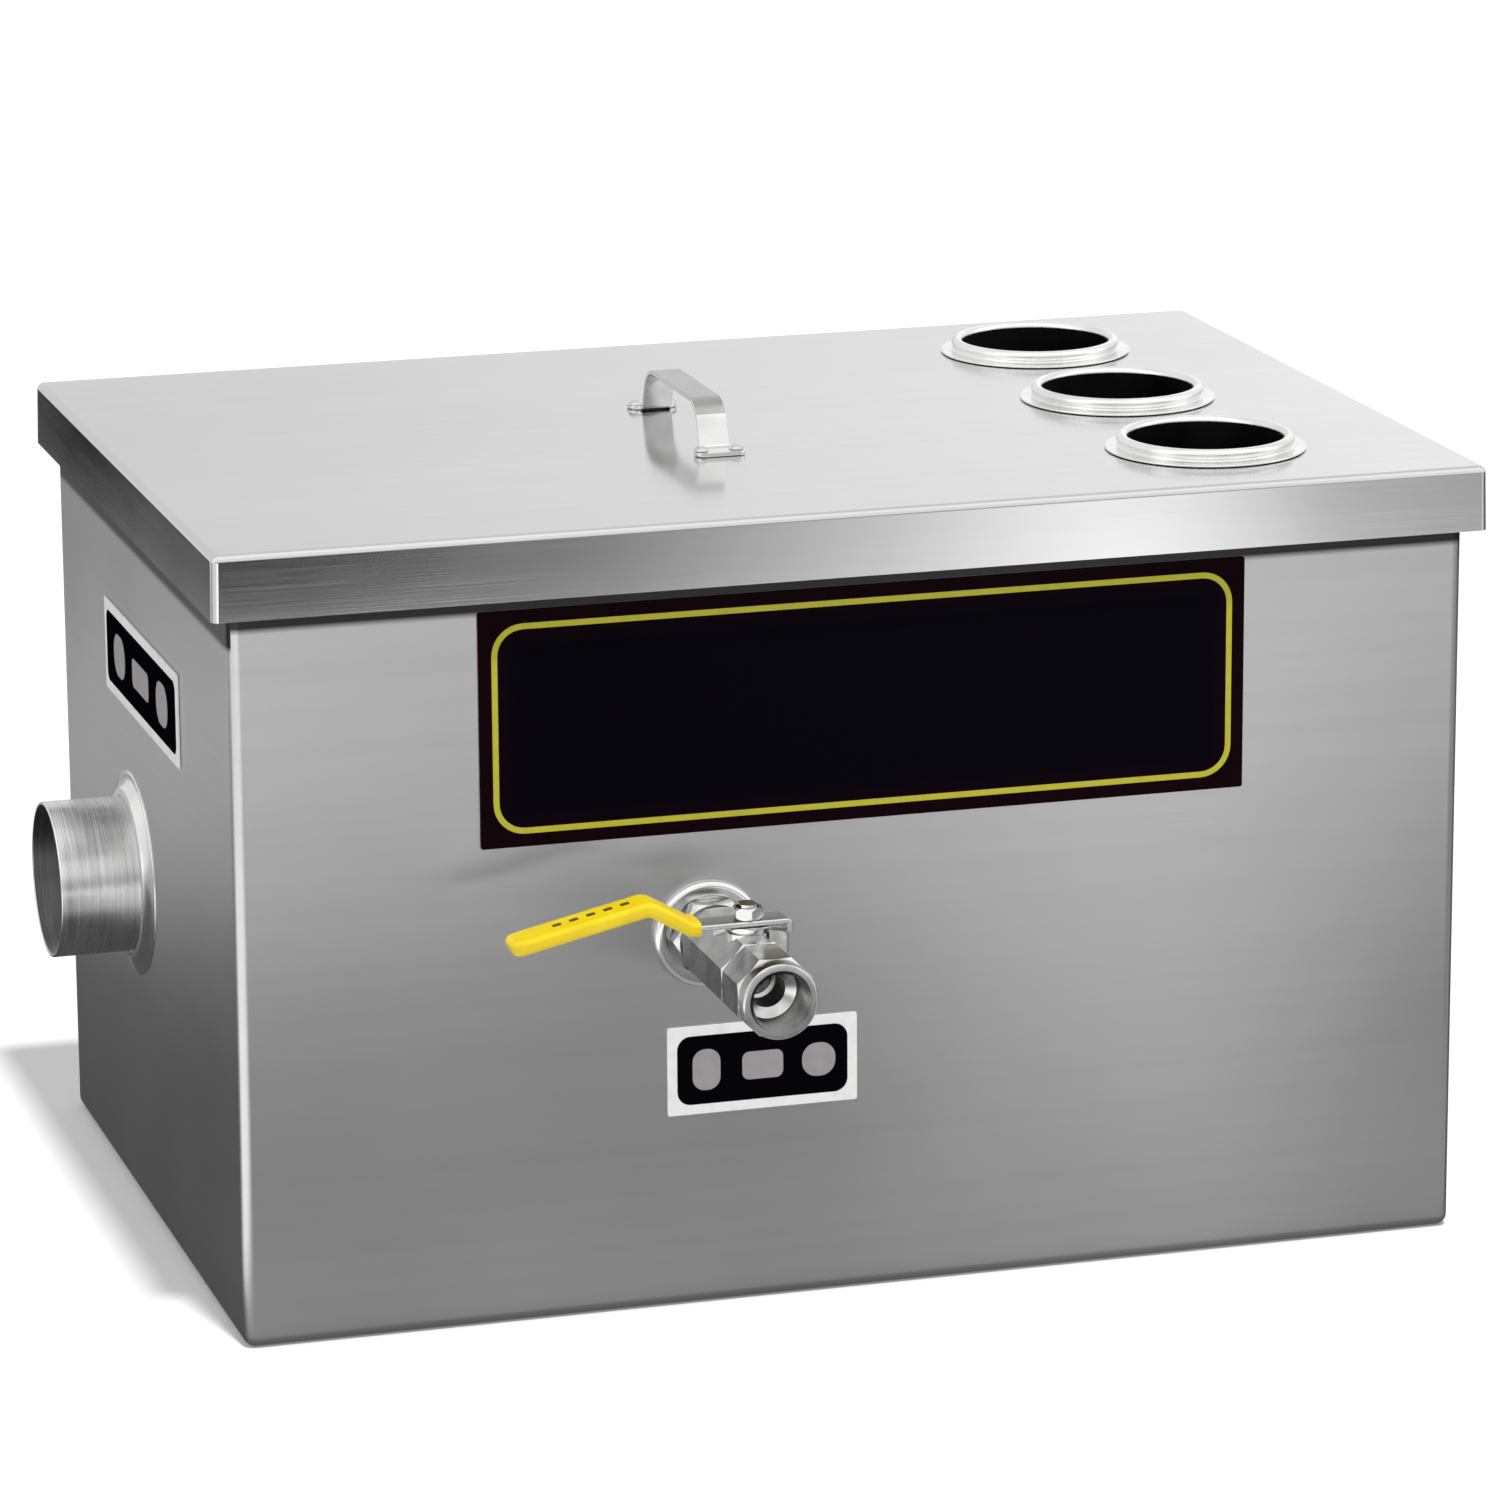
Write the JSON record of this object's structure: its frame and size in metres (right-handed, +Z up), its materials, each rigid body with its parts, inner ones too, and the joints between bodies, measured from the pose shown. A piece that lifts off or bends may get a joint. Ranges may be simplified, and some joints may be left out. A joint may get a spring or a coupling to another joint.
{
  "type": "grease trap",
  "caption": "Box-shaped stainless steel grease trap with a loose lid, hose ports, strainer basket, baffles, side outlet pipe and a lever ball valve for skimming.",
  "frame": {"origin": "centre of the tank's flat underside, on the floor", "axes": "+X along the tank towards the inlet end, +Y towards the rear, +Z up; the valve points along -Y and the outlet pipe along -X"},
  "size_m": [0.6535, 0.529, 0.4036],
  "materials": {
    "sheet_steel": "satin stainless sheet with a fine rolling grain",
    "pipe_steel": "stainless tube brushed round its girth",
    "polished_steel": "polished stainless",
    "cast_steel": "bright cast and machined steel",
    "seal_rubber": "matt black rubber",
    "seat_plastic": "white bearing plastic",
    "sleeve_vinyl": "dipped yellow vinyl",
    "black_plate": "gloss black panel with a yellow outline",
    "white_plate": "white plate with a black field"
  },
  "bodies": {
    "trap": {"tank": "sheet_steel", "lid": "sheet_steel", "lid_seal": "seal_rubber", "lid_handle": "polished_steel", "handle_rivet_1": "polished_steel", "handle_rivet_2": "polished_steel", "handle_rivet_3": "polished_steel", "handle_rivet_4": "polished_steel", "port_collar_front": "polished_steel", "port_collar_middle": "polished_steel", "port_collar_rear": "polished_steel", "strainer_basket": "sheet_steel", "basket_grip_front": "polished_steel", "basket_grip_rear": "polished_steel", "basket_ledge_front": "sheet_steel", "basket_ledge_rear": "sheet_steel", "inlet_channel_front": "sheet_steel", "inlet_channel_rear": "sheet_steel", "outlet_channel_front": "sheet_steel", "outlet_channel_rear": "sheet_steel", "inlet_baffle": "sheet_steel", "outlet_baffle": "sheet_steel", "outlet_pipe": "pipe_steel", "outlet_ring": "polished_steel", "outlet_tee": "pipe_steel", "front_panel": "black_plate", "valve_label": "white_plate", "side_label": "white_plate", "valve_wall_ring": "polished_steel", "bulkhead_gasket": "seal_rubber", "bulkhead_locknut": "cast_steel", "valve_nipple": "cast_steel", "valve_body": "cast_steel", "valve_end_cap": "cast_steel", "valve_seat_front": "seat_plastic", "valve_seat_rear": "seat_plastic", "stem_packing": "seat_plastic", "gland_nut": "cast_steel"},
    "valve_handle": {"valve_ball": "polished_steel", "valve_stem": "cast_steel", "valve_lever": "cast_steel", "lever_nut": "cast_steel", "lever_sleeve": "sleeve_vinyl"}
  },
  "joints": [
    {"name": "valve_turn", "type": "hinge", "parent": "trap", "child": "valve_handle", "pos_m": [-0.076, -0.267, 0.182], "axis": [0, 0, 1], "range_deg": [0, 90]}
  ]
}
